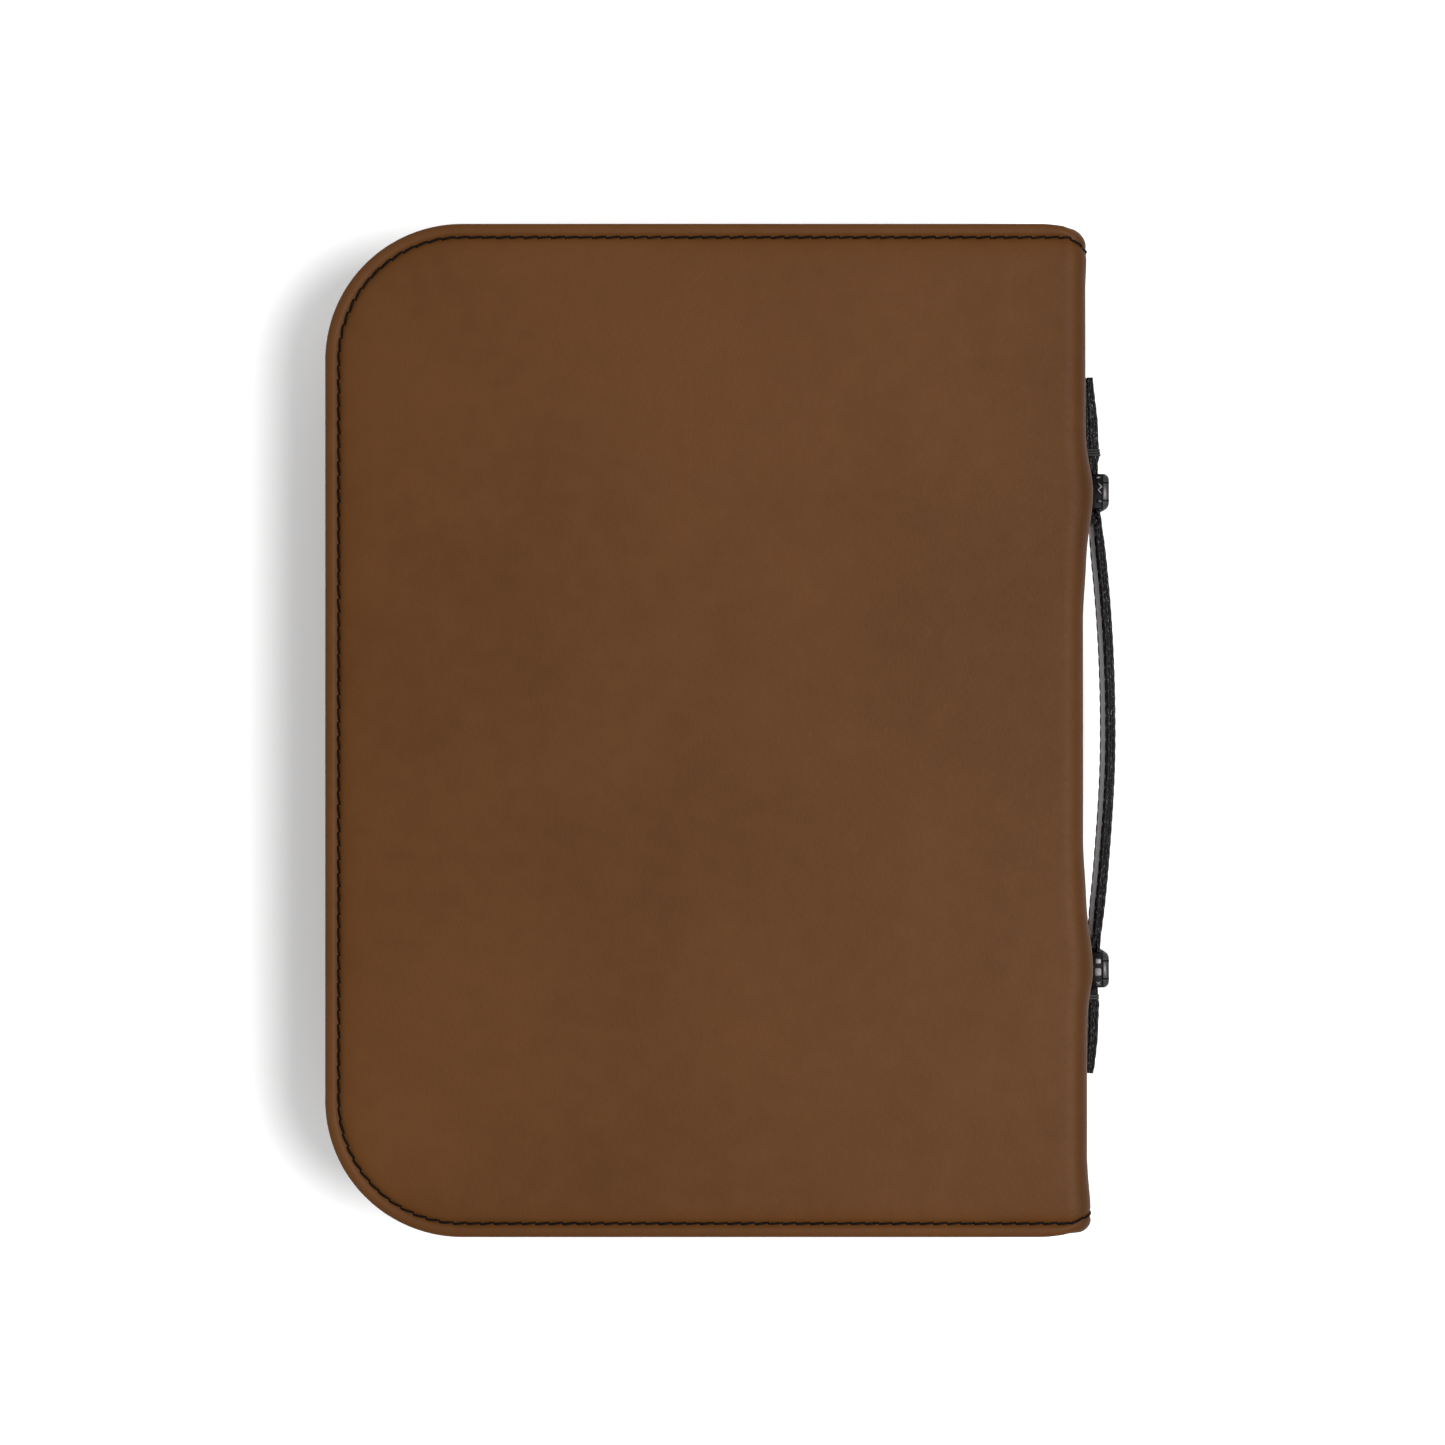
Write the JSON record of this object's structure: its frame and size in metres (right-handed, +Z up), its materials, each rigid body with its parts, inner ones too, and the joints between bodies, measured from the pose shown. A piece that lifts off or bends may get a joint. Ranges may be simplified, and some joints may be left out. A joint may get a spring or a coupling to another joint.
{
  "type": "bible",
  "caption": "Bible inside a padded leatherette zip-up cover with a short carrying handle on its spine; the cover and the book open together.",
  "frame": {"origin": "centre of the front cover's outer face, on which the closed case lies", "axes": "+Z up through the closed book from front cover to back cover, +Y towards the head of the book, +X towards the spine and its handle"},
  "size_m": [0.2201, 0.28, 0.052],
  "materials": {
    "brown_leatherette": "matte grained leatherette",
    "foam_padding": "closed-cell foam",
    "stiffener_board": "matt",
    "black_lining": "plain woven polyester",
    "zip_tape": "herringbone woven",
    "zip_coil": "satin",
    "zip_metal": "gunmetal plated",
    "black_leather": "satin, stitched",
    "gunmetal": "polished gunmetal plate",
    "bible_cover_leather": "fine grained",
    "page_paper": "thin uncoated sheets",
    "headband_cloth": "wound thread",
    "ribbon_satin": "satin",
    "black_elastic": "ribbed elastic"
  },
  "bodies": {
    "front_cover": {"front_skin": "brown_leatherette", "front_foam": "foam_padding", "front_board": "stiffener_board", "front_lining": "black_lining", "front_sleeve": "black_lining", "front_gusset": "brown_leatherette", "front_zip_tape": "zip_tape", "front_zip_coil": "zip_coil", "front_zip_end": "zip_tape", "front_bible_cover": "bible_cover_leather", "front_page_block": "page_paper", "ribbon_marker": "ribbon_satin"},
    "back_cover": {"back_skin": "brown_leatherette", "back_foam": "foam_padding", "back_board": "stiffener_board", "back_lining": "black_lining", "back_sleeve": "black_lining", "back_gusset": "brown_leatherette", "back_zip_tape": "zip_tape", "back_zip_coil": "zip_coil", "back_zip_end": "zip_tape", "back_bible_cover": "bible_cover_leather", "pen_loop": "black_elastic"},
    "spine": {"spine_skin": "brown_leatherette", "spine_foam": "foam_padding", "spine_lining": "black_lining", "bible_spine": "bible_cover_leather", "headbands": "headband_cloth", "handle_tab_head": "black_leather", "handle_tab_tail": "black_leather"},
    "pages": {"back_page_block": "page_paper"},
    "slider": {"zip_slider": "zip_metal"},
    "pull": {"zip_pull": "zip_metal"},
    "buckle_head": {"buckle_head": "gunmetal"},
    "strap": {"handle_strap": "black_leather"},
    "buckle_tail": {"buckle_tail": "gunmetal"}
  },
  "joints": [
    {"name": "spine_fold", "type": "hinge", "parent": "front_cover", "child": "spine", "pos_m": [0.1026, 0, 0.0024], "axis": [0, 1, 0], "range_deg": [0, 90]},
    {"name": "cover_fold", "type": "hinge", "parent": "spine", "child": "back_cover", "pos_m": [0.1026, 0, 0.0496], "axis": [0, 1, 0], "range_deg": [0, 90]},
    {"name": "pages_open", "type": "hinge", "parent": "front_cover", "child": "pages", "pos_m": [0.098, 0, 0.026], "axis": [0, 1, 0], "range_deg": [0, 180]},
    {"name": "zip_slide", "type": "slide", "parent": "front_cover", "child": "slider", "axis": [-1, 0, 0], "range_m": [0, 0.145]},
    {"name": "pull_swing", "type": "hinge", "parent": "slider", "child": "pull", "pos_m": [0.0855, -0.1385, 0.026], "axis": [0, 0, 1], "range_deg": [0, 100]},
    {"name": "handle_swing", "type": "hinge", "parent": "spine", "child": "buckle_head", "pos_m": [0.1084, 0.0703, 0.026], "axis": [0, 0, 1], "range_deg": [0, 20]},
    {"name": "strap_swing", "type": "hinge", "parent": "buckle_head", "child": "strap", "pos_m": [0.1084, 0.0627, 0.026], "axis": [0, 0, 1], "range_deg": [-20, 0]},
    {"name": "tail_buckle_swing", "type": "hinge", "parent": "spine", "child": "buckle_tail", "pos_m": [0.1084, -0.0703, 0.026], "axis": [0, 0, 1], "range_deg": [-20, 0]}
  ],
  "couplings": [
    {"joint": "cover_fold", "follows": "spine_fold", "ratio": 1},
    {"joint": "pages_open", "follows": "spine_fold", "ratio": 2},
    {"joint": "strap_swing", "follows": "handle_swing", "ratio": -1},
    {"joint": "tail_buckle_swing", "follows": "handle_swing", "ratio": -1}
  ]
}
